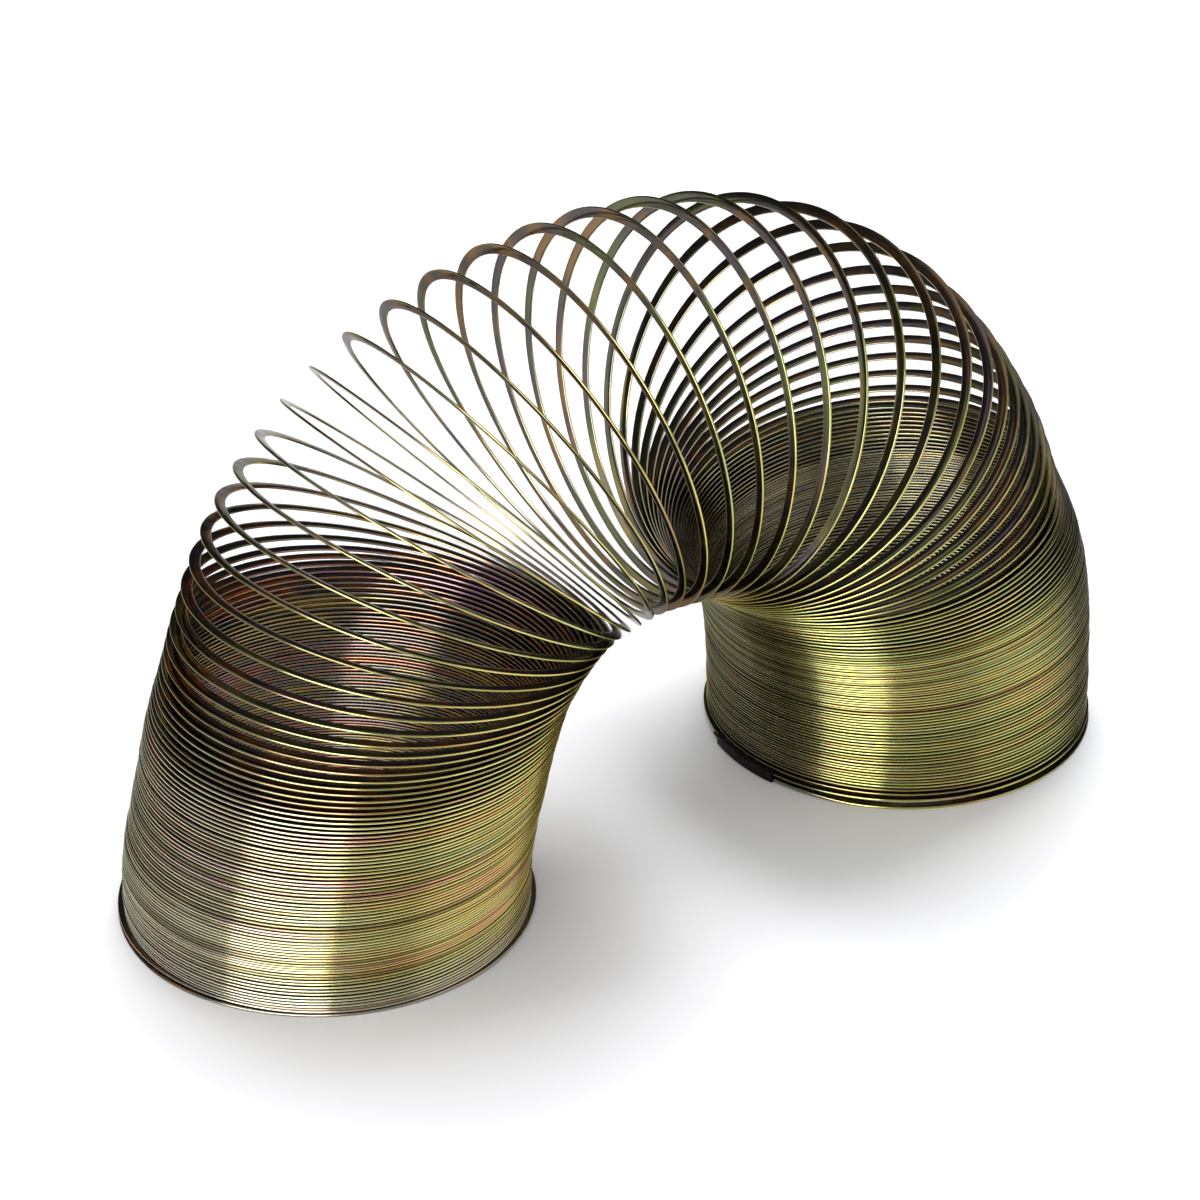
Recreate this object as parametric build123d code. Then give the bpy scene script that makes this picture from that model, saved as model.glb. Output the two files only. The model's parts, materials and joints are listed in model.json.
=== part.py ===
from build123d import *
import math
import os

# A metal spring coil toy standing as an arch. One long flat wire is wound into a helix. Its first turns
# stand stacked as the right foot, the middle turns fan open over the crown, and its last turns stand
# stacked as the left foot. A crimped clip holds each end of the wire to the turn above it.
#
# The wire is one piece on the real object. Here it is cut on its inner side into short lengths, so that
# each open turn can be moved on its own.
#
# Frame: origin on the floor halfway between the feet, X along the arch (right foot at +X), Z up.

# Wire and coil, mm
COIL_DIAMETER = 70.0
WIRE_WIDTH = 2.0
WIRE_THICKNESS = 0.42
OUTER_RADIUS = COIL_DIAMETER / 2
INNER_RADIUS = OUTER_RADIUS - WIRE_WIDTH

# Winding. The angle round the coil runs from the outer side of the arch (0) to its inner side (180).
SECTIONS_PER_TURN = 24
SECTION_ANGLE = 360.0 / SECTIONS_PER_TURN
WIRE_START_ANGLE = 165.0
CUT_ANGLE = 180.0
LAST_SECTION = 3958
FIRST_CUT_SECTION = round((CUT_ANGLE - WIRE_START_ANGLE) / SECTION_ANGLE)

# Shape of the arch along the wire: turns from the right end, how far one turn tilts from the last
# (degrees), spacing of the turns on the inner side of the arch (mm) and sideways lean per turn (mm).
STATIONS = (
    (0.0, 0.0, 0.95, 0.0),
    (2.5, 0.0, 0.95, 0.0),
    (4.0, 0.24, 0.54, 0.0),
    (20.0, 0.13, 0.60, 0.0),
    (40.0, 0.15, 0.47, -0.05),
    (50.0, 0.06, 0.52, -0.10),
    (57.0, 0.30, 0.80, -0.30),
    (62.0, 0.42, 0.70, -0.40),
    (66.0, 3.40, 0.47, -0.40),
    (70.0, 3.90, 0.48, -0.25),
    (74.0, 8.85, 0.48, 0.10),
    (78.0, 6.10, 2.56, 0.35),
    (82.0, 6.75, 1.40, 0.85),
    (86.0, 5.50, 0.73, 0.90),
    (90.0, 4.10, 0.50, 0.60),
    (95.0, 1.28, 0.63, 0.45),
    (102.0, 0.20, 0.82, 0.30),
    (112.0, 0.12, 0.65, 0.15),
    (130.0, 0.0, 0.67, 0.15),
    (148.0, 0.0, 0.54, 0.05),
    (152.0, 0.0, 0.52, 0.03),
    (160.0, 0.0, 0.52, 0.0),
    (162.3, 0.0, 0.475, 0.0),
    (162.9, 0.0, 0.95, 0.0),
    (165.0, 0.0, 0.95, 0.0),
)
ARCH_ANGLE = 180.0
LEFT_STACK_FIRST_TURN = 104.0
LEFT_STACK_LAST_TURN = 160.0

# How the wire is cut into lengths: turn at which each length ends
RIGHT_STACK_CUTS = (5, 11, 17, 23, 29, 35, 41, 47, 53, 58, 62)
FAN_FIRST_TURN = 62
FAN_LAST_TURN = 98
LEFT_STACK_CUTS = (104, 110, 116, 122, 128, 134, 140, 146, 152, 158)

# End clips: a folded sheet sleeve round the two lowest turns, standing on the floor
CLIP_SHEET = 0.35
CLIP_CLEARANCE = 0.05
CLIP_START = 5.0
CLIP_SPAN = 26.0
CLIP_TURNS_HELD = 2
CLIP_CLIMB = 0.08
END_TURN_RISE = 0.95
CLIP_HOLLOW_HEIGHT = END_TURN_RISE * (CLIP_TURNS_HELD - 1) + WIRE_THICKNESS + CLIP_CLIMB
CLIP_HEIGHT = CLIP_HOLLOW_HEIGHT + 2 * CLIP_SHEET + 2 * CLIP_CLEARANCE

# The lowest turn comes out of the clip, dips to the floor, lies flat on it, then climbs into the stack.
# Measured in turns from the end of the wire.
DIP_START = 0.1
FLAT_START_SECTION = 4
FLAT_END_SECTION = 12
LEFT_ARC_END_SECTION = 8
DIP_END = 1.0
FLOOR_GAP = CLIP_SHEET + CLIP_CLEARANCE

# The last turns of each foot are wound a little larger than the rest: turns from the end, extra radius.
RIGHT_FLARE = ((0.0, 0.5), (1.1, 0.5), (2.1, 0.0))
LEFT_FLARE = (
    (0.0, 1.0),
    (0.38, 1.0),
    (0.53, 0.2),
    (0.6, 0.2),
    (0.8, 0.8),
    (0.95, 1.0),
    (1.3, 1.0),
    (1.5, 0.0),
)
RIGHT_END_FLARE = RIGHT_FLARE[0][1]
LEFT_END_FLARE = LEFT_FLARE[0][1]

# The left foot's turns above its clip sit lower on the side away from the clip, and even out further
# up: turns from the end, how much lower.
SETTLE_START = 1.05
LEFT_SETTLE = ((SETTLE_START, 1.17), (2.5, 1.62), (15.0, 0.0))

# Step used to find how the left stack's spacing changes its end height
SPACING_STEP = 0.1


def smooth_step(x):
    x = min(1.0, max(0.0, x))
    return x * x * (3 - 2 * x)


def table_value(table, x):
    """Value at x on smooth steps between the rows of a table of (x, value)."""
    for (x0, y0), (x1, y1) in zip(table, table[1:]):
        if x < x1:
            return y0 + (y1 - y0) * smooth_step((x - x0) / (x1 - x0))
    return table[-1][1]


def station_slopes(column):
    """Slope at each station that keeps the curve between stations free of overshoot."""
    rates = []
    for a, b in zip(STATIONS, STATIONS[1:]):
        rates.append((b[column] - a[column]) / (b[0] - a[0]))
    slopes = [0.0]
    for before, after in zip(rates, rates[1:]):
        if before * after <= 0:
            slopes.append(0.0)
        else:
            slopes.append(2 * before * after / (before + after))
    slopes.append(0.0)
    return slopes


SLOPES = {column: station_slopes(column) for column in (1, 2, 3)}


def law(column, turn):
    """Value of one station column at any turn, on a smooth curve through the stations."""
    i = 0
    while i < len(STATIONS) - 2 and STATIONS[i + 1][0] < turn:
        i += 1
    a = STATIONS[i]
    b = STATIONS[i + 1]
    span = b[0] - a[0]
    x = (turn - a[0]) / span
    y0 = a[column]
    y1 = b[column]
    m0 = SLOPES[column][i] * span
    m1 = SLOPES[column][i + 1] * span
    return (
        (2 * x**3 - 3 * x**2 + 1) * y0
        + (x**3 - 2 * x**2 + x) * m0
        + (3 * x**2 - 2 * x**3) * y1
        + (x**3 - x**2) * m1
    )


def walk(tilt_scale, left_pitch_scale):
    """Tilt (radians) and coil centre (x, z) at every section, from the right end of the wire."""
    step = 1.0 / SECTIONS_PER_TURN
    tilt = 0.0
    x = 0.0
    z = WIRE_THICKNESS / 2 + FLOOR_GAP
    rows = [(tilt, x, z)]
    for j in range(LAST_SECTION):
        middle = (j + 0.5) * step
        turning = math.radians(law(1, middle)) * tilt_scale * step
        pitch = law(2, middle)
        if LEFT_STACK_FIRST_TURN < middle < LEFT_STACK_LAST_TURN:
            pitch *= left_pitch_scale
        along = pitch * step + OUTER_RADIUS * turning
        lean = law(3, middle) * step
        half = tilt + turning / 2
        x += -math.sin(half) * along + math.cos(half) * lean
        z += math.cos(half) * along + math.sin(half) * lean
        tilt += turning
        rows.append((tilt, x, z))
    return rows


# The tilt is scaled so that the left foot ends level, and the left stack's spacing so that it ends on
# the floor. Both corrections are small.
TILT_SCALE = math.radians(ARCH_ANGLE) / walk(1.0, 1.0)[-1][0]
END_HEIGHT = WIRE_THICKNESS / 2 + FLOOR_GAP


def miss(left_pitch_scale):
    return walk(TILT_SCALE, left_pitch_scale)[-1][2] - END_HEIGHT


MISS_AT_ONE = miss(1.0)
MISS_SLOPE = (miss(1.0 + SPACING_STEP) - MISS_AT_ONE) / SPACING_STEP
LEFT_PITCH_SCALE = 1.0 - MISS_AT_ONE / MISS_SLOPE
ROWS = walk(TILT_SCALE, LEFT_PITCH_SCALE)
MIDDLE_X = (ROWS[0][1] + RIGHT_END_FLARE + ROWS[-1][1] - LEFT_END_FLARE) / 2
FRAMES = [(tilt, x - MIDDLE_X, z) for tilt, x, z in ROWS]
RIGHT_FOOT_X = FRAMES[0][1]
LEFT_FOOT_X = FRAMES[-1][1]


def dip(from_end):
    """Share of its height the end turn gives up to lie on the floor."""
    flat_start = FLAT_START_SECTION / SECTIONS_PER_TURN
    flat_end = FLAT_END_SECTION / SECTIONS_PER_TURN
    if from_end < flat_start:
        return smooth_step((from_end - DIP_START) / (flat_start - DIP_START))
    return 1.0 - smooth_step((from_end - flat_end) / (DIP_END - flat_end))


def is_right(j):
    return j < LAST_SECTION / 2


def turns_from_end(j):
    return min(j, LAST_SECTION - j) / SECTIONS_PER_TURN


def flare(j):
    """How much larger the coil's radius is at section j."""
    return table_value(RIGHT_FLARE if is_right(j) else LEFT_FLARE, turns_from_end(j))


def settle(j):
    """How much lower the left foot's wire sits at section j, for lack of a clip under it."""
    from_end = turns_from_end(j)
    if is_right(j) or from_end < SETTLE_START:
        return 0.0
    return table_value(LEFT_SETTLE, from_end) * math.sin(math.pi * (from_end - SETTLE_START)) ** 2


def centre(j):
    """Coil centre and tilt at section j, with the end turns brought down to the floor."""
    tilt, x, z = FRAMES[j]
    from_end = turns_from_end(j)
    if from_end < DIP_END:
        z -= (z - WIRE_THICKNESS / 2) * dip(from_end)
    return tilt, x, z - settle(j)


def section(j):
    """Rectangular cross-section of the wire at section j, in the plane through the coil's own axis."""
    tilt, x, z = centre(j)
    round_angle = math.radians(WIRE_START_ANGLE + SECTION_ANGLE * j)
    outward = (math.cos(tilt), 0.0, math.sin(tilt))
    axial = (-math.sin(tilt), 0.0, math.cos(tilt))
    radial = (
        outward[0] * math.cos(round_angle),
        math.sin(round_angle),
        outward[2] * math.cos(round_angle),
    )
    half = WIRE_THICKNESS / 2
    wider = flare(j)
    points = []
    for radius, lift in (
        (INNER_RADIUS, -half),
        (OUTER_RADIUS, -half),
        (OUTER_RADIUS, half),
        (INNER_RADIUS, half),
    ):
        points.append(
            Vector(
                x + radial[0] * (radius + wider) + axial[0] * lift,
                radial[1] * (radius + wider),
                z + radial[2] * (radius + wider) + axial[2] * lift,
            )
        )
    return Wire.make_polygon(points, close=True)


def wire_length(first, last):
    return Solid.make_loft([section(j) for j in range(first, last + 1)], ruled=False)


def arc_block(foot_x, side, start, end, radius_in, radius_out, z_low, z_high):
    """Upright block bounded by two arcs about a foot's axis; side is +1 for the right foot."""

    def at(radius, angle):
        a = math.radians(angle)
        return Vector(foot_x + side * radius * math.cos(a), radius * math.sin(a), z_low)

    middle = (start + end) / 2
    edges = [
        Edge.make_three_point_arc(at(radius_out, start), at(radius_out, middle), at(radius_out, end)),
        Edge.make_line(at(radius_out, end), at(radius_in, end)),
        Edge.make_three_point_arc(at(radius_in, end), at(radius_in, middle), at(radius_in, start)),
        Edge.make_line(at(radius_in, start), at(radius_out, start)),
    ]
    face = Face(Wire(edges))
    return Solid.extrude(face, Vector(0, 0, z_high - z_low))


def end_clip(foot_x, side, wider, end_angle, direction):
    """Sleeve round the lowest turns; direction is the way the wire leaves its end."""
    start = end_angle + direction * CLIP_START
    end = start + direction * CLIP_SPAN
    outside = arc_block(
        foot_x,
        side,
        start,
        end,
        INNER_RADIUS + wider - CLIP_CLEARANCE - CLIP_SHEET,
        OUTER_RADIUS + wider + CLIP_CLEARANCE + CLIP_SHEET,
        0.0,
        CLIP_HEIGHT,
    )
    hollow = arc_block(
        foot_x,
        side,
        start - direction,
        end + direction,
        INNER_RADIUS + wider - CLIP_CLEARANCE,
        OUTER_RADIUS + wider + CLIP_CLEARANCE,
        CLIP_SHEET,
        CLIP_HEIGHT - CLIP_SHEET,
    )
    return outside - hollow


def one_solid(shape):
    return shape.solids()[0]


def cut_section(turn):
    return FIRST_CUT_SECTION + SECTIONS_PER_TURN * turn


PARTS = {}

# Right foot, from the floor up
first = cut_section(RIGHT_STACK_CUTS[0])
lead_in = wire_length(0, FLAT_START_SECTION)
flat_arc = arc_block(
    RIGHT_FOOT_X,
    1,
    WIRE_START_ANGLE + FLAT_START_SECTION * SECTION_ANGLE,
    WIRE_START_ANGLE + FLAT_END_SECTION * SECTION_ANGLE,
    INNER_RADIUS + RIGHT_END_FLARE,
    OUTER_RADIUS + RIGHT_END_FLARE,
    0.0,
    WIRE_THICKNESS,
)
PARTS["right_stack_01"] = one_solid(lead_in + flat_arc + wire_length(FLAT_END_SECTION, first))
for i, turn in enumerate(RIGHT_STACK_CUTS[1:], start=2):
    last = cut_section(turn)
    PARTS[f"right_stack_{i:02d}"] = wire_length(first, last)
    first = last

# Open turns of the fan, from the right foot over the crown
for turn in range(FAN_FIRST_TURN, FAN_LAST_TURN):
    PARTS[f"fan_turn_{turn - FAN_FIRST_TURN + 1:02d}"] = wire_length(cut_section(turn), cut_section(turn + 1))

# Left foot, numbered from the floor up
left_cuts = [cut_section(turn) for turn in (FAN_LAST_TURN,) + LEFT_STACK_CUTS]
left_count = len(left_cuts)
for i, (first, last) in enumerate(zip(left_cuts, left_cuts[1:])):
    PARTS[f"left_stack_{left_count - i:02d}"] = wire_length(first, last)
flat_from = LAST_SECTION - LEFT_ARC_END_SECTION
flat_to = LAST_SECTION - FLAT_START_SECTION
WIRE_END_ANGLE = (WIRE_START_ANGLE + SECTION_ANGLE * LAST_SECTION) % 360
flat_arc = arc_block(
    LEFT_FOOT_X,
    -1,
    WIRE_END_ANGLE - LEFT_ARC_END_SECTION * SECTION_ANGLE,
    WIRE_END_ANGLE - FLAT_START_SECTION * SECTION_ANGLE,
    INNER_RADIUS + LEFT_END_FLARE,
    OUTER_RADIUS + LEFT_END_FLARE,
    0.0,
    WIRE_THICKNESS,
)
lead_out = wire_length(flat_to, LAST_SECTION)
PARTS["left_stack_01"] = one_solid(wire_length(left_cuts[-1], flat_from) + flat_arc + lead_out)

# End clips
PARTS["right_end_clip"] = one_solid(end_clip(RIGHT_FOOT_X, 1, RIGHT_END_FLARE, WIRE_START_ANGLE, 1))
PARTS["left_end_clip"] = one_solid(end_clip(LEFT_FOOT_X, -1, LEFT_END_FLARE, WIRE_END_ANGLE, -1))

os.makedirs("parts", exist_ok=True)
for name, solid in PARTS.items():
    export_step(solid, f"parts/{name}.step")
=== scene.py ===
import json
import math

import bpy
import numpy as np
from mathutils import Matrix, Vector


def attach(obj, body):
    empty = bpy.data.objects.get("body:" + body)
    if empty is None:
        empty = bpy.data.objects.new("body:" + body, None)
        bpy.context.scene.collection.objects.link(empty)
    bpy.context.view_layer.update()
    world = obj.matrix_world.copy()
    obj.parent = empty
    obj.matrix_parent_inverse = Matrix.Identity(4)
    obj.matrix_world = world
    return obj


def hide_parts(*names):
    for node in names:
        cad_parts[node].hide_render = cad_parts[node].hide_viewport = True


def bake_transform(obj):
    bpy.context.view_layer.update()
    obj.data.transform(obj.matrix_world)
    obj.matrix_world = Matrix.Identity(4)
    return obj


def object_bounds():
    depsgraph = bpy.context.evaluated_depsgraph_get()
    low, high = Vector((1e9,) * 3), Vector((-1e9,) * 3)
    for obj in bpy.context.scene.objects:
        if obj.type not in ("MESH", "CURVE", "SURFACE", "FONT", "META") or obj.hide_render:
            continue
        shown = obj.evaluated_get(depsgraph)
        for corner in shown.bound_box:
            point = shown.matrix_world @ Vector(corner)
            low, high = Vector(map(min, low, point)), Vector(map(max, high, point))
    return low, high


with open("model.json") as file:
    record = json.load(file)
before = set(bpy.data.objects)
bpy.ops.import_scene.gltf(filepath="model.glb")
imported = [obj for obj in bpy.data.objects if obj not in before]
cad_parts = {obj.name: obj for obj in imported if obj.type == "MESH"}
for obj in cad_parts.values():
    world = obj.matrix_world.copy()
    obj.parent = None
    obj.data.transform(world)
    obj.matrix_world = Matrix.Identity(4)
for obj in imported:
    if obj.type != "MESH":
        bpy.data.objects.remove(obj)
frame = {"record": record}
CAD_LOW, CAD_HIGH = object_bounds()

MM = 0.001

# ---------------------------------------------------------------------------------------------------
# The winding, as the CAD part makes it: one flat wire, wound right-handed and folded into an arch.
# Lengths here are in millimetres, and turned to metres as each mesh is made.
# ---------------------------------------------------------------------------------------------------

OUTER_RADIUS = 35.0
WIRE_WIDTH = 2.0
WIRE_THICKNESS = 0.42
WIRE_START_ANGLE = 165.0
CUT_ANGLE = 180.0
SECTIONS_PER_TURN = 96
SECTION_ANGLE = 360.0 / SECTIONS_PER_TURN
CAD_SECTIONS_PER_TURN = 24
CAD_LAST_SECTION = 3958
TOTAL_TURNS = CAD_LAST_SECTION / CAD_SECTIONS_PER_TURN
LAST_SECTION = round(TOTAL_TURNS * SECTIONS_PER_TURN)

# turns from the right end, tilt per turn (degrees), spacing on the inner side, sideways lean per turn
STATIONS = np.array(
    (
        (0.0, 0.0, 0.95, 0.0),
        (2.5, 0.0, 0.95, 0.0),
        (4.0, 0.24, 0.54, 0.0),
        (20.0, 0.13, 0.60, 0.0),
        (40.0, 0.15, 0.47, -0.05),
        (50.0, 0.06, 0.52, -0.10),
        (57.0, 0.30, 0.80, -0.30),
        (62.0, 0.42, 0.70, -0.40),
        (66.0, 3.40, 0.47, -0.40),
        (70.0, 3.90, 0.48, -0.25),
        (74.0, 8.85, 0.48, 0.10),
        (78.0, 6.10, 2.56, 0.35),
        (82.0, 6.75, 1.40, 0.85),
        (86.0, 5.50, 0.73, 0.90),
        (90.0, 4.10, 0.50, 0.60),
        (95.0, 1.28, 0.63, 0.45),
        (102.0, 0.20, 0.82, 0.30),
        (112.0, 0.12, 0.65, 0.15),
        (130.0, 0.0, 0.67, 0.15),
        (148.0, 0.0, 0.54, 0.05),
        (152.0, 0.0, 0.52, 0.03),
        (160.0, 0.0, 0.52, 0.0),
        (162.3, 0.0, 0.475, 0.0),
        (162.9, 0.0, 0.95, 0.0),
        (165.0, 0.0, 0.95, 0.0),
    )
)
STATION_TURN, STATION_TILT, STATION_SPACING, STATION_LEAN = STATIONS.T
ARCH_ANGLE = 180.0
LEFT_STACK_FIRST_TURN = 104.0
LEFT_STACK_LAST_TURN = 160.0
SPACING_STEP = 0.1
FLOOR_GAP = 0.4

# turns from either end of the wire: it dips to lie flat on the floor, then climbs to its winding
DIP_START = 0.1
FLAT_START = 4 / CAD_SECTIONS_PER_TURN
FLAT_END = 12 / CAD_SECTIONS_PER_TURN
DIP_END = 1.0

# turns from the end of the wire, and how much larger the coil is wound there
RIGHT_FLARE = ((0.0, 0.5), (1.1, 0.5), (2.1, 0.0))
LEFT_FLARE = (
    (0.0, 1.0),
    (0.38, 1.0),
    (0.53, 0.2),
    (0.6, 0.2),
    (0.8, 0.8),
    (0.95, 1.0),
    (1.3, 1.0),
    (1.5, 0.0),
)
RIGHT_END_FLARE = RIGHT_FLARE[0][1]
LEFT_END_FLARE = LEFT_FLARE[0][1]

# turns from the left end of the wire, and how much lower it sits on the side away from its clip
SETTLE_START = 1.05
LEFT_SETTLE = ((SETTLE_START, 1.17), (2.5, 1.62), (15.0, 0.0))


def smooth_step(x):
    x = np.clip(x, 0.0, 1.0)
    return x * x * (3 - 2 * x)


def table_value(table, x):
    """Values at x on smooth steps between the rows of a table of (x, value)."""
    value = np.full(len(x), table[-1][1])
    for (x0, y0), (x1, y1) in reversed(list(zip(table, table[1:]))):
        value = np.where(x < x1, y0 + (y1 - y0) * smooth_step((x - x0) / (x1 - x0)), value)
    return value


def law(value, turn):
    """One column of the stations, on a smooth curve through them without overshoot."""
    at = STATION_TURN
    rates = np.diff(value) / np.diff(at)
    slopes = np.zeros(len(at))
    same_way = rates[:-1] * rates[1:] > 0
    both = np.where(same_way, rates[:-1] + rates[1:], 1.0)
    slopes[1:-1] = np.where(same_way, 2 * rates[:-1] * rates[1:] / both, 0.0)
    i = np.clip(np.searchsorted(at, turn, side="left") - 1, 0, len(at) - 2)
    span = at[i + 1] - at[i]
    x = (turn - at[i]) / span
    return (
        (2 * x**3 - 3 * x**2 + 1) * value[i]
        + (x**3 - 2 * x**2 + x) * slopes[i] * span
        + (3 * x**2 - 2 * x**3) * value[i + 1]
        + (x**3 - x**2) * slopes[i + 1] * span
    )


def walk(tilt_scale, left_pitch_scale):
    """Tilt (radians) and coil centre (x, z) at every section."""
    step = 1.0 / SECTIONS_PER_TURN
    middle = (np.arange(LAST_SECTION) + 0.5) * step
    turning = np.radians(law(STATION_TILT, middle)) * tilt_scale * step
    in_left_stack = (middle > LEFT_STACK_FIRST_TURN) & (middle < LEFT_STACK_LAST_TURN)
    pitch = law(STATION_SPACING, middle) * np.where(in_left_stack, left_pitch_scale, 1.0)
    along = pitch * step + OUTER_RADIUS * turning
    lean = law(STATION_LEAN, middle) * step
    tilt = np.concatenate(([0.0], np.cumsum(turning)))
    half = (tilt[:-1] + tilt[1:]) / 2
    x = np.concatenate(([0.0], np.cumsum(-np.sin(half) * along + np.cos(half) * lean)))
    z = np.concatenate(([0.0], np.cumsum(np.cos(half) * along + np.sin(half) * lean)))
    return tilt, x, z


def fitted_walk():
    """The walk scaled a little so that the left foot ends level and on the floor."""
    tilt_scale = math.radians(ARCH_ANGLE) / walk(1.0, 1.0)[0][-1]
    miss = walk(tilt_scale, 1.0)[2][-1]
    slope = (walk(tilt_scale, 1.0 + SPACING_STEP)[2][-1] - miss) / SPACING_STEP
    tilt, x, z = walk(tilt_scale, 1.0 - miss / slope)
    middle_x = (x[0] + RIGHT_END_FLARE + x[-1] - LEFT_END_FLARE) / 2
    return tilt, x - middle_x, z + WIRE_THICKNESS / 2 + FLOOR_GAP


SECTIONS = np.arange(LAST_SECTION + 1)
TURNS = SECTIONS / SECTIONS_PER_TURN
FROM_END = np.minimum(TURNS, TOTAL_TURNS - TURNS)
IS_RIGHT = TURNS < TOTAL_TURNS / 2
TILT, CENTRE_X, CENTRE_Z = fitted_walk()


def end_dip():
    """Share of its height each end turn gives up to lie on the floor."""
    down = smooth_step((FROM_END - DIP_START) / (FLAT_START - DIP_START))
    up = 1.0 - smooth_step((FROM_END - FLAT_END) / (DIP_END - FLAT_END))
    return np.where(FROM_END < FLAT_START, down, up)


def left_settle():
    """How much lower the left foot's wire sits where no clip holds it up."""
    depth = table_value(LEFT_SETTLE, FROM_END) * np.sin(math.pi * (FROM_END - SETTLE_START)) ** 2
    return np.where(IS_RIGHT | (FROM_END < SETTLE_START), 0.0, depth)


CENTRE_Z = CENTRE_Z - (CENTRE_Z - WIRE_THICKNESS / 2) * np.where(FROM_END < DIP_END, end_dip(), 0.0)
CENTRE_Z = CENTRE_Z - left_settle()
FLARE = np.where(IS_RIGHT, table_value(RIGHT_FLARE, FROM_END), table_value(LEFT_FLARE, FROM_END))
ANGLE = np.radians(WIRE_START_ANGLE + SECTION_ANGLE * SECTIONS)

# ---------------------------------------------------------------------------------------------------
# Small unevenness of a real coil: each turn sits a little above or below its place in the winding.
# ---------------------------------------------------------------------------------------------------

# amounts in millimetres, knots of the random curves per turn, and turns at each end left even
UNEVEN_SPACING = 0.035
UNEVEN_SPACING_KNOTS = 1.7
UNEVEN_SPACING_SEED = 11
UNEVEN_RADIUS = 0.10
UNEVEN_RADIUS_KNOTS = 0.8
UNEVEN_RADIUS_SEED = 12
UNEVEN_FREE_TURNS = 2.5


def uneven(seed, knots_per_turn):
    """A smooth random curve along the wire, between -1 and 1."""
    rng = np.random.default_rng(seed)
    knots = rng.uniform(-1.0, 1.0, int(TOTAL_TURNS * knots_per_turn) + 4)
    at = TURNS * knots_per_turn
    i = at.astype(int)
    return knots[i] + (knots[i + 1] - knots[i]) * smooth_step(at - i)


AWAY_FROM_ENDS = smooth_step((FROM_END - UNEVEN_FREE_TURNS) / UNEVEN_FREE_TURNS)
LIFT = UNEVEN_SPACING * uneven(UNEVEN_SPACING_SEED, UNEVEN_SPACING_KNOTS) * AWAY_FROM_ENDS
SWELL = UNEVEN_RADIUS * uneven(UNEVEN_RADIUS_SEED, UNEVEN_RADIUS_KNOTS) * AWAY_FROM_ENDS

# ---------------------------------------------------------------------------------------------------
# Meshes of the wire
# ---------------------------------------------------------------------------------------------------

ROUND_POINTS = 5


def wire_profile():
    """Section of the rolled wire: flat on both faces, fully round on both edges (radial, axial), mm."""
    half = WIRE_THICKNESS / 2
    points = []
    for centre, start in ((OUTER_RADIUS - half, -90.0), (OUTER_RADIUS - WIRE_WIDTH + half, 90.0)):
        for k in range(ROUND_POINTS):
            a = math.radians(start + 180.0 * k / (ROUND_POINTS - 1))
            points.append((centre + half * math.cos(a), half * math.sin(a)))
    return np.array(points)


PROFILE = wire_profile()
WIRE_SHARP_ANGLE = 60.0

# the colours are laid on a straight coil with this spacing, in millimetres
WOUND_PITCH = 0.6

# share of the way from the middle of the wire's width to its edge where the edge's colour begins
# Painted shade: the rounded corners of each edge keep the dark face colour, so the gaps between the
# turns read dark
EDGE_START = 0.86


def ring_points(first, last):
    """Vertices of the wire from one section to another, and the same points on the coil as wound."""
    j = np.arange(first, last + 1)
    cos_t, sin_t = np.cos(TILT[j])[:, None], np.sin(TILT[j])[:, None]
    cos_a, sin_a = np.cos(ANGLE[j])[:, None], np.sin(ANGLE[j])[:, None]
    radius = PROFILE[None, :, 0] + (FLARE[j] + SWELL[j])[:, None]
    axial = PROFILE[None, :, 1] + LIFT[j][:, None]
    x = CENTRE_X[j][:, None] + cos_t * radius * cos_a - sin_t * axial
    y = radius * sin_a
    z = CENTRE_Z[j][:, None] + sin_t * radius * cos_a + cos_t * axial
    wound_z = TURNS[j][:, None] * WOUND_PITCH + axial
    points = np.stack((x, y, z), axis=-1).reshape(-1, 3)
    wound = np.stack((radius * cos_a, radius * sin_a, wound_z), axis=-1).reshape(-1, 3)
    return points * MM, wound * MM


def edge_shares(sections):
    """1 on the outer edge of the wire, 0 elsewhere, and the same for its inner edge, for each vertex."""
    across = (PROFILE[:, 0] - (OUTER_RADIUS - WIRE_WIDTH / 2)) / (WIRE_WIDTH / 2)
    share = smooth_step((np.abs(across) - EDGE_START) / (1.0 - EDGE_START))
    return np.tile(share * (across > 0), sections), np.tile(share * (across < 0), sections)


def new_object(name, points, faces, sharp_angle):
    """A smooth mesh with sharp edges where faces meet at more than an angle in degrees."""
    mesh = bpy.data.meshes.new(name)
    mesh.from_pydata(points, [], faces)
    mesh.polygons.foreach_set("use_smooth", np.ones(len(faces), dtype=bool))
    mesh.set_sharp_from_angle(angle=math.radians(sharp_angle))
    obj = bpy.data.objects.new(name, mesh)
    bpy.context.scene.collection.objects.link(obj)
    return obj, mesh


def wire_mesh(name, first, last):
    """A closed length of wire between two sections."""
    points, wound = ring_points(first, last)
    rings = last - first + 1
    n = len(PROFILE)
    faces = []
    for i in range(rings - 1):
        for k in range(n):
            a = i * n + k
            b = i * n + (k + 1) % n
            faces.append((a, a + n, b + n, b))
    faces.append(tuple(range(n)))
    faces.append(tuple((rings - 1) * n + k for k in reversed(range(n))))
    obj, mesh = new_object(name, points.tolist(), faces, WIRE_SHARP_ANGLE)
    attribute = mesh.attributes.new("wound", "FLOAT_VECTOR", "POINT")
    attribute.data.foreach_set("vector", wound.astype(np.float32).ravel())
    for label, share in zip(("outer_edge", "inner_edge"), edge_shares(rings)):
        attribute = mesh.attributes.new(label, "FLOAT", "POINT")
        attribute.data.foreach_set("value", share.astype(np.float32))
    mesh.update()
    return obj


# ---------------------------------------------------------------------------------------------------
# Materials
# ---------------------------------------------------------------------------------------------------


def new_material(name):
    material = bpy.data.materials.new(name)
    material.use_nodes = True
    tree = material.node_tree
    return material, tree, tree.nodes["Principled BSDF"].inputs


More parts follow.
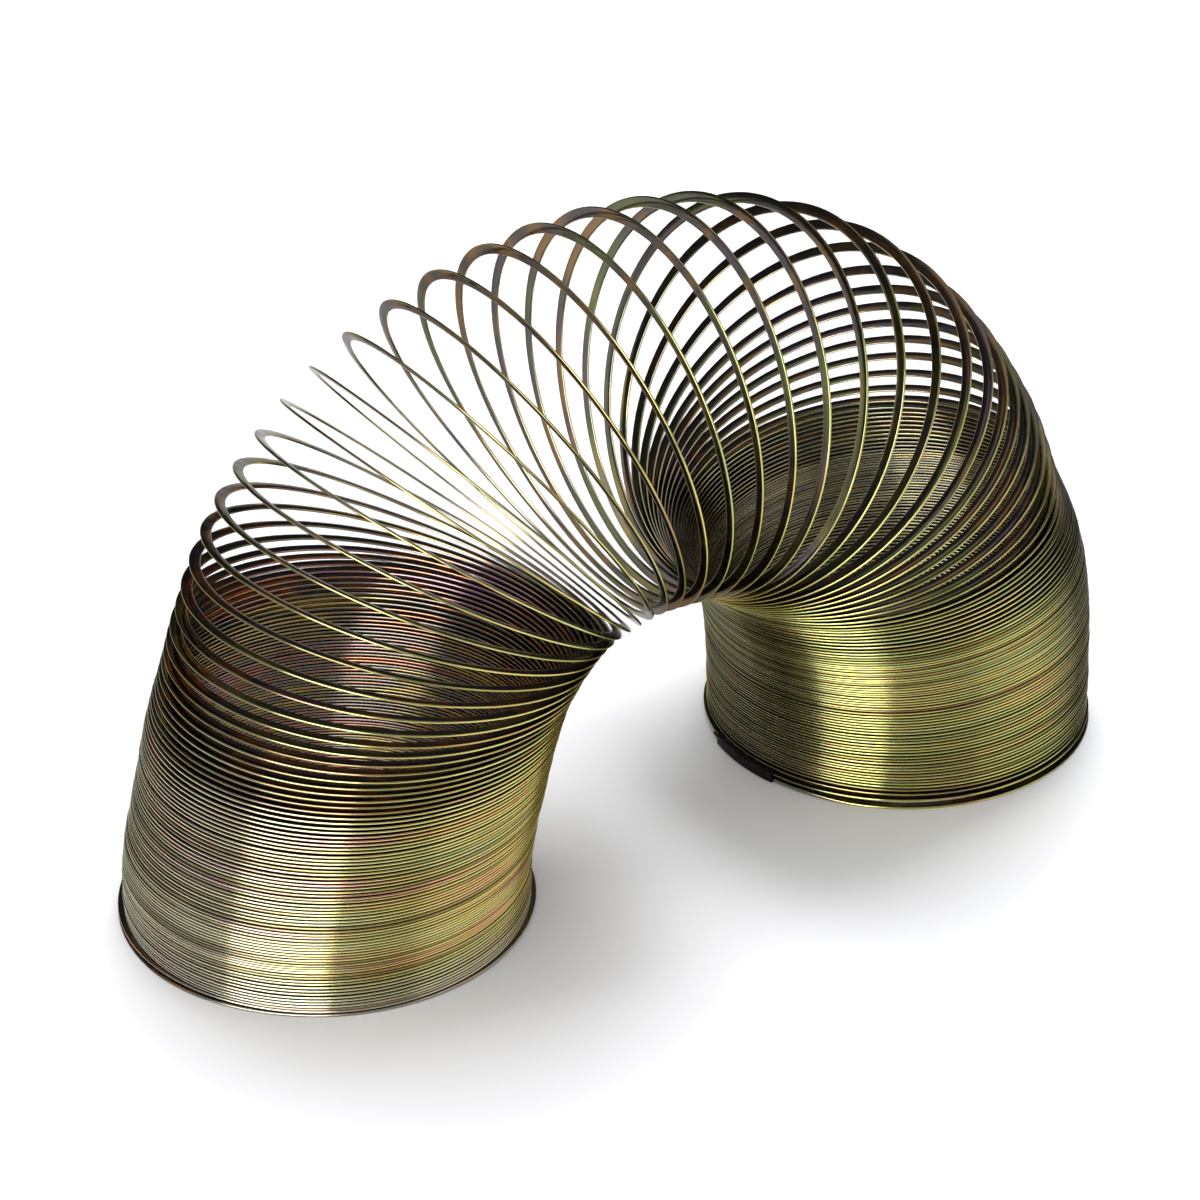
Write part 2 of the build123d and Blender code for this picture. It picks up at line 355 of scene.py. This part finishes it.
def attribute_output(tree, label, output):
    node = tree.nodes.new("ShaderNodeAttribute")
    node.attribute_name = label
    return node.outputs[output]


def ramp(tree, value, stops):
    """Colours at positions between 0 and 1, blended by a value."""
    node = tree.nodes.new("ShaderNodeValToRGB")
    tree.links.new(value, node.inputs["Fac"])
    elements = node.color_ramp.elements
    while len(elements) < len(stops):
        elements.new(0.5)
    for element, (position, colour) in zip(elements, stops):
        element.position = position
        element.color = (*colour, 1.0)
    return node.outputs["Color"]


def noise(tree, vector, scale, stretch, detail, offset=(0.0, 0.0, 0.0)):
    """Noise between 0 and 1, finer along an axis the more it is stretched."""
    mapping = tree.nodes.new("ShaderNodeMapping")
    mapping.inputs["Scale"].default_value = stretch
    mapping.inputs["Location"].default_value = offset
    tree.links.new(vector, mapping.inputs["Vector"])
    texture = tree.nodes.new("ShaderNodeTexNoise")
    texture.inputs["Scale"].default_value = scale
    texture.inputs["Detail"].default_value = detail
    tree.links.new(mapping.outputs["Vector"], texture.inputs["Vector"])
    return texture.outputs["Fac"]


def mix(tree, factor, a, b, blend="MIX"):
    """Colour a turning to colour b; each may be a number, a colour or another node's output."""
    node = tree.nodes.new("ShaderNodeMix")
    node.data_type = "RGBA"
    node.blend_type = blend
    for label, value in (("Factor", factor), ("A", a), ("B", b)):
        socket = node.inputs[label]
        if isinstance(value, float):
            socket.default_value = value
        elif isinstance(value, tuple):
            socket.default_value = (*value, 1.0)
        else:
            tree.links.new(value, socket)
    return node.outputs["Result"]


def spread(tree, value, span, to_low=0.0, to_high=1.0):
    """A value's place in a span, as a number from one limit to the other."""
    node = tree.nodes.new("ShaderNodeMapRange")
    node.inputs["From Min"].default_value = span[0]
    node.inputs["From Max"].default_value = span[1]
    node.inputs["To Min"].default_value = to_low
    node.inputs["To Max"].default_value = to_high
    tree.links.new(value, node.inputs["Value"])
    return node.outputs["Result"]


def fade(tree, a, b, value, span, share=1.0):
    """Colour a turning to colour b over a span of a value, and ending as the given share of b."""
    return mix(tree, spread(tree, value, span, 0.0, share), a, b)


def bump(tree, height, strength, distance, normal_input):
    """A finely uneven surface; strength is its share and distance its depth in metres."""
    node = tree.nodes.new("ShaderNodeBump")
    node.inputs["Strength"].default_value = strength
    node.inputs["Distance"].default_value = distance
    tree.links.new(height, node.inputs["Height"])
    tree.links.new(node.outputs["Normal"], normal_input)


# Hues of the wire against a drifting noise: its wide faces, inner edge and outer edge, by foot
# The dark face hues are partly painted shade between the turns
RIGHT_FACE_HUES = (
    (0.36, (0.14, 0.11, 0.13)),
    (0.43, (0.105, 0.098, 0.098)),
    (0.465, (0.23, 0.145, 0.08)),
    (0.50, (0.11, 0.10, 0.095)),
    (0.55, (0.14, 0.15, 0.075)),
    (0.60, (0.27, 0.21, 0.10)),
    (0.66, (0.20, 0.19, 0.19)),
)
LEFT_FACE_HUES = (
    (0.36, (0.19, 0.14, 0.17)),
    (0.43, (0.115, 0.105, 0.105)),
    (0.465, (0.36, 0.19, 0.09)),
    (0.50, (0.125, 0.115, 0.11)),
    (0.55, (0.17, 0.165, 0.10)),
    (0.60, (0.40, 0.30, 0.11)),
    (0.66, (0.23, 0.225, 0.22)),
)
RIGHT_INSIDE_HUES = (
    (0.38, (0.60, 0.50, 0.40)),
    (0.44, (0.86, 0.74, 0.36)),
    (0.49, (0.50, 0.46, 0.36)),
    (0.54, (0.66, 0.62, 0.42)),
    (0.59, (0.95, 0.88, 0.52)),
    (0.64, (0.62, 0.61, 0.56)),
)
LEFT_INSIDE_HUES = (
    (0.38, (0.60, 0.40, 0.42)),
    (0.43, (0.80, 0.35, 0.16)),
    (0.47, (0.40, 0.35, 0.30)),
    (0.53, (0.38, 0.35, 0.27)),
    (0.58, (0.84, 0.62, 0.22)),
    (0.64, (0.50, 0.48, 0.44)),
)
RIGHT_RIM_HUES = (
    (0.36, (0.74, 0.42, 0.20)),
    (0.43, (0.88, 0.72, 0.24)),
    (0.50, (0.76, 0.70, 0.21)),
    (0.57, (0.56, 0.62, 0.22)),
    (0.64, (0.92, 0.85, 0.38)),
)
LEFT_RIM_HUES = (
    (0.36, (0.98, 0.52, 0.32)),
    (0.43, (1.0, 0.72, 0.24)),
    (0.50, (0.88, 0.82, 0.25)),
    (0.57, (0.98, 0.88, 0.36)),
    (0.64, (0.66, 0.76, 0.30)),
)
TURN_TONES = (
    (0.38, (0.45, 0.43, 0.40)),
    (0.46, (0.90, 0.90, 0.89)),
    (0.54, (1.0, 1.0, 1.0)),
)
# Painted reflection: pale silver laid on the rims of the left foot's lowest turns and outer side
PAINTED_REFLECTION_SILVER = (0.84, 0.83, 0.75)
# Painted shade: dark grey laid on the rims of the right foot's outer side
PAINTED_SHADE_GREY = (0.12, 0.115, 0.10)
# Painted shade: dull olive laid on the rims of the right foot's inner and outer sides
PAINTED_SHADE_OLIVE = (0.16, 0.16, 0.135)
GRAZING_TINT = (0.42, 0.41, 0.39)
CLIP_TONES = (
    (0.35, (0.004, 0.004, 0.004)),
    (0.60, (0.012, 0.010, 0.009)),
    (0.75, (0.06, 0.05, 0.045)),
)

# Spans where one hue gives way to another, in metres on the coil as wound: first along its axis from
# the right end, then across it, with the outside of the arch positive and the inside negative
FACES_CHANGE = (0.050, 0.056)
RIMS_CHANGE = (0.050, 0.062)
# height on the coil where the painted grey shade of the outer side gives way to the painted silver
# reflection
LEFT_FOOT_TOP = (0.056, 0.064)
# height on the coil above which the painted olive shade of the right foot fades out
RIGHT_FOOT_TOP = (0.036, 0.044)
# span over which the left foot's lowest turns take the painted silver reflection
LAST_TURNS = (0.0915, 0.0985)
# painted shade and reflection: over this span the outer side takes the grey shade on the right foot and
# the silver reflection on the left foot
ARCH_OUTSIDE = (0.010, 0.034)
# span of the painted olive shade on the right foot's outer side
RIGHT_OUTSIDE = (0.006, 0.019)
# span of the painted olive shade on the right foot's inner side, towards the left foot
RIGHT_INSIDE = (-0.027, -0.0325)
NOISE_SPAN = (0.3, 0.7)


def coil_steel():
    """Flat spring steel with a yellow chromate colour on its rolled edges; its dark wide faces, also
    laid on the edges' corners, are partly painted shade between the turns, and the sides of each foot
    carry painted shade and reflection.
    """
    material, tree, shader = new_material("coil_steel")
    place = attribute_output(tree, "wound", "Vector")
    outer_edge = attribute_output(tree, "outer_edge", "Fac")
    inner_edge = attribute_output(tree, "inner_edge", "Fac")
    split = tree.nodes.new("ShaderNodeSeparateXYZ")
    tree.links.new(place, split.inputs["Vector"])
    outward = split.outputs["X"]
    height = split.outputs["Z"]

    clouds = noise(tree, place, scale=30.0, stretch=(1.0, 1.0, 5.0), detail=3.0)
    streaks = noise(tree, place, 1.0, stretch=(24.0, 24.0, 1300.0), detail=2.0, offset=(3.0, 1.0, 0.0))
    drift = mix(tree, 0.5, clouds, streaks)

    def by_foot(right_hues, left_hues, span):
        return fade(tree, ramp(tree, drift, right_hues), ramp(tree, drift, left_hues), height, span)

    faces = by_foot(RIGHT_FACE_HUES, LEFT_FACE_HUES, FACES_CHANGE)
    inside = by_foot(RIGHT_INSIDE_HUES, LEFT_INSIDE_HUES, FACES_CHANGE)
    rim = by_foot(RIGHT_RIM_HUES, LEFT_RIM_HUES, RIMS_CHANGE)
    # Painted reflection: the rims of the left foot's lowest turns are made paler silver
    rim = fade(tree, rim, PAINTED_REFLECTION_SILVER, height, LAST_TURNS, 0.75)
    # Painted shade and reflection on the outer side of the arch: darker grey rims on the right foot,
    # paler silver rims on the left foot
    outer_side_shade_and_reflection = fade(tree, PAINTED_SHADE_GREY, PAINTED_REFLECTION_SILVER, height, LEFT_FOOT_TOP)
    rim = fade(tree, rim, outer_side_shade_and_reflection, outward, ARCH_OUTSIDE, 0.65)
    # Painted shade: the right foot's rims are dulled to olive on its inner and outer sides
    olive_shade_rim = fade(tree, PAINTED_SHADE_OLIVE, rim, height, RIGHT_FOOT_TOP)
    rim = fade(tree, rim, olive_shade_rim, outward, RIGHT_INSIDE, 0.8)
    rim = fade(tree, rim, olive_shade_rim, outward, RIGHT_OUTSIDE, 0.65)
    tones = noise(tree, place, 1.0, stretch=(16.0, 16.0, 3400.0), detail=1.0, offset=(8.0, 2.0, 4.0))
    rim = mix(tree, 1.0, rim, ramp(tree, tones, TURN_TONES), "MULTIPLY")
    # the edge colour covers only the outer part of each rolled edge; the dark face colour left on its
    # corners is painted shade between the turns
    colour = mix(tree, outer_edge, faces, rim)
    colour = mix(tree, inner_edge, colour, inside)
    tree.links.new(colour, shader["Base Color"])
    shader["Metallic"].default_value = 1.0
    shader["Specular Tint"].default_value = (*GRAZING_TINT, 1.0)
    grain = noise(tree, place, 1.0, stretch=(300.0, 300.0, 9000.0), detail=2.0, offset=(0.0, 5.0, 2.0))
    tree.links.new(spread(tree, grain, NOISE_SPAN, 0.12, 0.24), shader["Roughness"])
    bump(tree, grain, strength=0.15, distance=0.02 * MM, normal_input=shader["Normal"])
    return material


def clip_steel():
    """Dark oiled sheet, rubbed a little brighter in streaks."""
    material, tree, shader = new_material("clip_steel")
    coords = tree.nodes.new("ShaderNodeTexCoord").outputs["Object"]
    streaks = noise(tree, coords, 1.0, stretch=(900.0, 900.0, 2600.0), detail=4.0)
    tree.links.new(ramp(tree, streaks, CLIP_TONES), shader["Base Color"])
    shader["Specular IOR Level"].default_value = 0.08
    shader["Metallic"].default_value = 0.1
    tree.links.new(spread(tree, streaks, NOISE_SPAN, 0.55, 0.35), shader["Roughness"])
    bump(tree, streaks, strength=0.3, distance=0.05 * MM, normal_input=shader["Normal"])
    return material


COIL = coil_steel()
CLIP = clip_steel()

# ---------------------------------------------------------------------------------------------------
# Pieces. A length of wire that crosses a hinge is made as a piece of its own, over half a turn round it,
# and is left on no body; the outer half of each open turn rides on that turn's own body.
# ---------------------------------------------------------------------------------------------------

BODIES = frame["record"]["behaviour"]["bodies"]
RIGHT_CUTS = (5, 11, 17, 23, 29, 35, 41, 47, 53, 58, 62)
LEFT_CUTS = (98, 104, 110, 116, 122, 128, 134, 140, 146, 152, 158)
FAN_FIRST_TURN = 62
FAN_LAST_TURN = 98
FIRST_CUT = round((CUT_ANGLE - WIRE_START_ANGLE) / SECTION_ANGLE)
QUARTER = SECTIONS_PER_TURN // 4


def cut(turn):
    """Section where the CAD wire is cut after a number of turns, on the inner side of the arch."""
    return FIRST_CUT + SECTIONS_PER_TURN * turn


def finish_wire(obj, *nodes):
    """Steel for a length of wire, and the CAD nodes it replaces, if any."""
    obj.data.materials.append(COIL)
    if nodes:
        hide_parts(*nodes)


def fan_node(turn):
    return f"fan_turn_{turn - FAN_FIRST_TURN + 1:02d}"


def body_of_node(node):
    return next(body for body, members in BODIES.items() if node in members)


def build_right_foot():
    first = 0
    for i, turn in enumerate(RIGHT_CUTS, start=1):
        obj = wire_mesh(f"right_foot_turns_{i:02d}", first, cut(turn))
        finish_wire(obj, f"right_stack_{i:02d}")
        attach(obj, "right_foot")
        first = cut(turn)


def build_left_foot():
    ends = [cut(turn) for turn in LEFT_CUTS[1:]] + [LAST_SECTION]
    first = cut(LEFT_CUTS[0])
    for i, last in zip(range(len(ends), 0, -1), ends):
        obj = wire_mesh(f"left_foot_turns_{i:02d}", first, last)
        finish_wire(obj, f"left_stack_{i:02d}")
        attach(obj, "left_foot")
        first = last


def build_fan():
    """Each open turn, in the lengths that ride on one body, and the lengths between two, left on no
    body.
    """
    for turn in range(FAN_FIRST_TURN, FAN_LAST_TURN):
        body = body_of_node(fan_node(turn))
        hinged_before = turn > FAN_FIRST_TURN and body_of_node(fan_node(turn - 1)) != body
        hinged_after = turn < FAN_LAST_TURN - 1 and body_of_node(fan_node(turn + 1)) != body
        first = cut(turn) + (QUARTER if hinged_before else 0)
        last = cut(turn + 1) - (QUARTER if hinged_after else 0)
        number = turn - FAN_FIRST_TURN + 1
        obj = wire_mesh(f"open_turn_{number:02d}", first, last)
        finish_wire(obj, fan_node(turn))
        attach(obj, body)
        if hinged_before:
            bend = wire_mesh(f"open_turn_{number:02d}_fold", cut(turn) - QUARTER, cut(turn) + QUARTER)
            finish_wire(bend)
            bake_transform(bend)


build_right_foot()
build_fan()
build_left_foot()

# ---------------------------------------------------------------------------------------------------
# End clips: a strip folded round the two lowest turns, pinched twice, with its seam on the inside
# ---------------------------------------------------------------------------------------------------

# lengths in millimetres, angles in degrees, and the pinches in shares of the clip's length
CLIP_SHEET = 0.35
CLIP_CLEARANCE = 0.05
CLIP_START = 5.0
CLIP_SPAN = 26.0
CLIP_HEIGHT = 2.25
CLIP_CORNER = 0.32
CLIP_INNER_CORNER = 0.06
CLIP_CORNER_STEPS = 4
CLIP_STEPS = 40
CLIP_SEAM = 0.12
CLIP_DENT = 0.18
CLIP_PINCHES = (0.3, 0.7)
CLIP_PINCH_WIDTH = 0.07
CLIP_SHARP_ANGLE = 40.0


def clip_profile():
    """Outline of the folded strip, from one lip of the seam round to the other (radial, axial), mm."""
    inner = OUTER_RADIUS - WIRE_WIDTH - CLIP_CLEARANCE - CLIP_SHEET
    outer = OUTER_RADIUS + CLIP_CLEARANCE + CLIP_SHEET
    middle = CLIP_HEIGHT / 2

    def loop(inset, corner):
        points = [(inner + inset, middle + CLIP_SEAM / 2)]
        for cx, cz, start in (
            (inner + inset + corner, CLIP_HEIGHT - inset - corner, 180.0),
            (outer - inset - corner, CLIP_HEIGHT - inset - corner, 90.0),
            (outer - inset - corner, inset + corner, 0.0),
            (inner + inset + corner, inset + corner, -90.0),
        ):
            for k in range(CLIP_CORNER_STEPS + 1):
                a = math.radians(start - 90.0 * k / CLIP_CORNER_STEPS)
                points.append((cx + corner * math.cos(a), cz + corner * math.sin(a)))
        points.append((inner + inset, middle - CLIP_SEAM / 2))
        return points

    outside = loop(0.0, CLIP_CORNER)
    inside = loop(CLIP_SHEET, CLIP_INNER_CORNER)
    return np.array(outside + inside[::-1])


def clip_mesh(name, foot_x, side, wider, end_angle, direction):
    """A clip at one end of the wire; direction is the way the wire leaves that end."""
    profile = clip_profile()
    n = len(profile)
    start = end_angle + direction * CLIP_START
    middle_radius = OUTER_RADIUS - WIRE_WIDTH / 2
    points = []
    for i in range(CLIP_STEPS + 1):
        share = i / CLIP_STEPS
        angle = math.radians(start + direction * CLIP_SPAN * share)
        pinch = sum(math.exp(-(((share - at) / CLIP_PINCH_WIDTH) ** 2)) for at in CLIP_PINCHES)
        for radial, axial in profile:
            belly = math.cos(math.pi * (axial / CLIP_HEIGHT - 0.5))
            dent = CLIP_DENT * pinch * belly if radial > middle_radius else 0.0
            radius = radial + wider - dent
            x = foot_x + side * radius * math.cos(angle)
            points.append((x * MM, radius * math.sin(angle) * MM, axial * MM))
    flip = side * direction > 0
    faces = []
    for i in range(CLIP_STEPS):
        for k in range(n):
            a, b = i * n + k, i * n + (k + 1) % n
            quad = (a, b, b + n, a + n)
            faces.append(quad if flip else quad[::-1])
    half = n // 2
    for ring in (0, CLIP_STEPS):
        base = ring * n
        for k in range(half - 1):
            quad = (base + k, base + k + 1, base + n - 2 - k, base + n - 1 - k)
            faces.append(quad if (ring == 0) != flip else quad[::-1])
    obj, mesh = new_object(name, points, faces, CLIP_SHARP_ANGLE)
    mesh.materials.append(CLIP)
    return obj


RIGHT_FOOT_X = CENTRE_X[0]
LEFT_FOOT_X = CENTRE_X[-1]
WIRE_END_ANGLE = (WIRE_START_ANGLE + 360.0 * TOTAL_TURNS) % 360
right_clip = clip_mesh("right_clip", RIGHT_FOOT_X, 1, RIGHT_END_FLARE, WIRE_START_ANGLE, 1)
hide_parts("right_end_clip")
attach(right_clip, "right_foot")
left_clip = clip_mesh("left_clip", LEFT_FOOT_X, -1, LEFT_END_FLARE, WIRE_END_ANGLE, -1)
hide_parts("left_end_clip")
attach(left_clip, "left_foot")

# ---------------------------------------------------------------------------------------------------
# Floor, light and camera
# ---------------------------------------------------------------------------------------------------

# the camera looks at a point a little off the middle of the CAD box; metres, radians, lens in mm
CAD_CENTRE = (CAD_LOW + CAD_HIGH) / 2
AIM_OFFSET = Vector((-0.0066, -0.0037, -0.0118))
VIEW_AZIMUTH = math.radians(-32.08)
VIEW_ELEVATION = math.radians(30.02)
VIEW_DISTANCE = 0.7444
VIEW_LENS = 129.9
SENSOR_WIDTH = 36.0

# level directions to the right of the picture and towards the camera
TO_RIGHT = Vector((math.cos(VIEW_AZIMUTH), math.sin(VIEW_AZIMUTH), 0.0))
TO_CAMERA = Vector((math.sin(VIEW_AZIMUTH), -math.cos(VIEW_AZIMUTH), 0.0))
UP = Vector((0.0, 0.0, 1.0))

FLOOR_HALF_SIZE = 6.0
FLOOR_COLOUR = (0.905, 0.91, 0.945, 1.0)
WORLD_COLOUR = (0.9, 0.93, 1.0, 1.0)
WORLD_STRENGTH = 0.07


def build_floor():
    size = FLOOR_HALF_SIZE
    mesh = bpy.data.meshes.new("studio_floor")
    corners = [(-size, -size, 0.0), (size, -size, 0.0), (size, size, 0.0), (-size, size, 0.0)]
    mesh.from_pydata(corners, [], [(0, 1, 2, 3)])
    floor = bpy.data.objects.new("studio_floor", mesh)
    bpy.context.scene.collection.objects.link(floor)
    material, tree, shader = new_material("pale_floor")
    shader["Base Color"].default_value = FLOOR_COLOUR
    shader["Roughness"].default_value = 0.8
    shader["Specular IOR Level"].default_value = 0.2
    mesh.materials.append(material)


def area_light(name, place, back, size, power, in_metal):
    """A soft box that shines away from where its back faces, either into the metal or on the floor.

    Its place is in metres from the origin: right in the picture, towards the camera, and up. Its
    size is in metres too, and its power in watts.
    """
    data = bpy.data.lights.new(name, "AREA")
    data.shape = "RECTANGLE"
    data.size, data.size_y = size
    data.energy = power
    light = bpy.data.objects.new(name, data)
    light.location = TO_RIGHT * place[0] + TO_CAMERA * place[1] + UP * place[2]
    light.rotation_mode = "QUATERNION"
    light.rotation_quaternion = back.to_track_quat("Z", "Y")
    light.visible_diffuse = not in_metal
    light.visible_glossy = in_metal
    bpy.context.scene.collection.objects.link(light)


def build_camera():
    data = bpy.data.cameras.new("camera")
    camera = bpy.data.objects.new("camera", data)
    level = math.cos(VIEW_ELEVATION)
    back = Vector(
        (math.sin(VIEW_AZIMUTH) * level, -math.cos(VIEW_AZIMUTH) * level, math.sin(VIEW_ELEVATION))
    )
    camera.location = CAD_CENTRE + AIM_OFFSET + back * VIEW_DISTANCE
    camera.rotation_mode = "QUATERNION"
    camera.rotation_quaternion = back.to_track_quat("Z", "Y")
    data.lens = VIEW_LENS
    data.sensor_width = SENSOR_WIDTH
    data.clip_start = 0.01
    data.clip_end = 50.0
    bpy.context.scene.collection.objects.link(camera)
    bpy.context.scene.camera = camera


def build_world():
    world = bpy.data.worlds.new("studio")
    world.use_nodes = True
    background = world.node_tree.nodes["Background"]
    background.inputs["Color"].default_value = WORLD_COLOUR
    background.inputs["Strength"].default_value = WORLD_STRENGTH
    bpy.context.scene.world = world
    bpy.context.scene.view_settings.view_transform = "Standard"


build_floor()
build_camera()
build_world()
area_light("key_softbox", (-0.262, 0.40, 0.30), TO_CAMERA, (0.435, 0.58), 4.8, in_metal=True)
area_light("top_softbox", (0.0, 0.0, 0.75), UP, (1.2, 1.2), 3.2, in_metal=True)
area_light("right_softbox", (0.70, 0.20, 0.40), TO_RIGHT, (1.0, 0.8), 1.7, in_metal=True)
area_light("overhead", (0.0, 0.0, 0.55), UP, (8.0, 8.0), 146.0, in_metal=False)
area_light("back_light", (0.12, -0.8, 1.5), UP, (1.0, 1.0), 25.0, in_metal=False)
